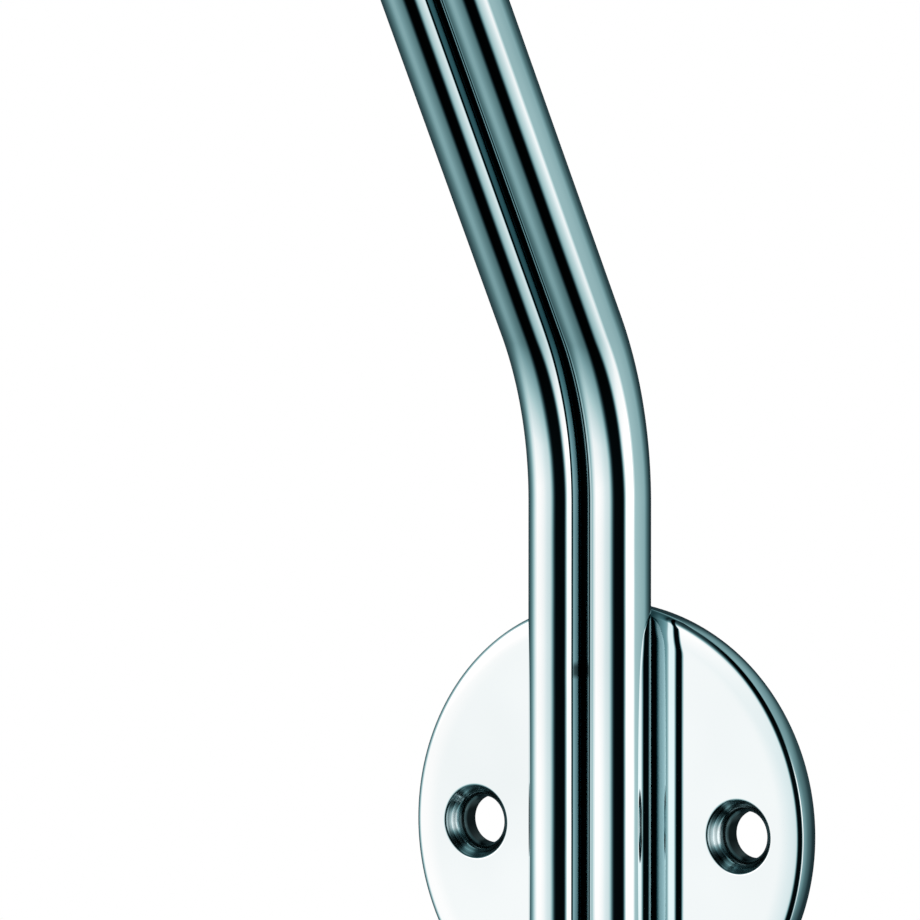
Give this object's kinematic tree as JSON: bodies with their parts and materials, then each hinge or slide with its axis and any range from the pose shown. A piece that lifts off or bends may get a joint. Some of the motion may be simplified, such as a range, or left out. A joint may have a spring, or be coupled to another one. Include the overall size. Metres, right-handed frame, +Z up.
{
  "type": "hat and coat hook",
  "caption": "Polished wall hook of parallel bent rods welded to a round screw-on plate, with a leaning hat arm above and an upturned coat hook below.",
  "frame": {"origin": "centre of the back plate's rear face, on the wall plane", "axes": "+Z up along the rods' stem, +Y into the wall, so the hook faces -Y; +X to the right of someone facing the wall"},
  "size_m": [0.05, 0.0483, 0.1592],
  "materials": {
    "plate_chrome": "mirror polished",
    "rod_chrome": "mirror polished"
  },
  "bodies": {
    "root": {"back_plate": "plate_chrome", "left_rod": "rod_chrome", "right_rod": "rod_chrome"}
  },
  "joints": []
}
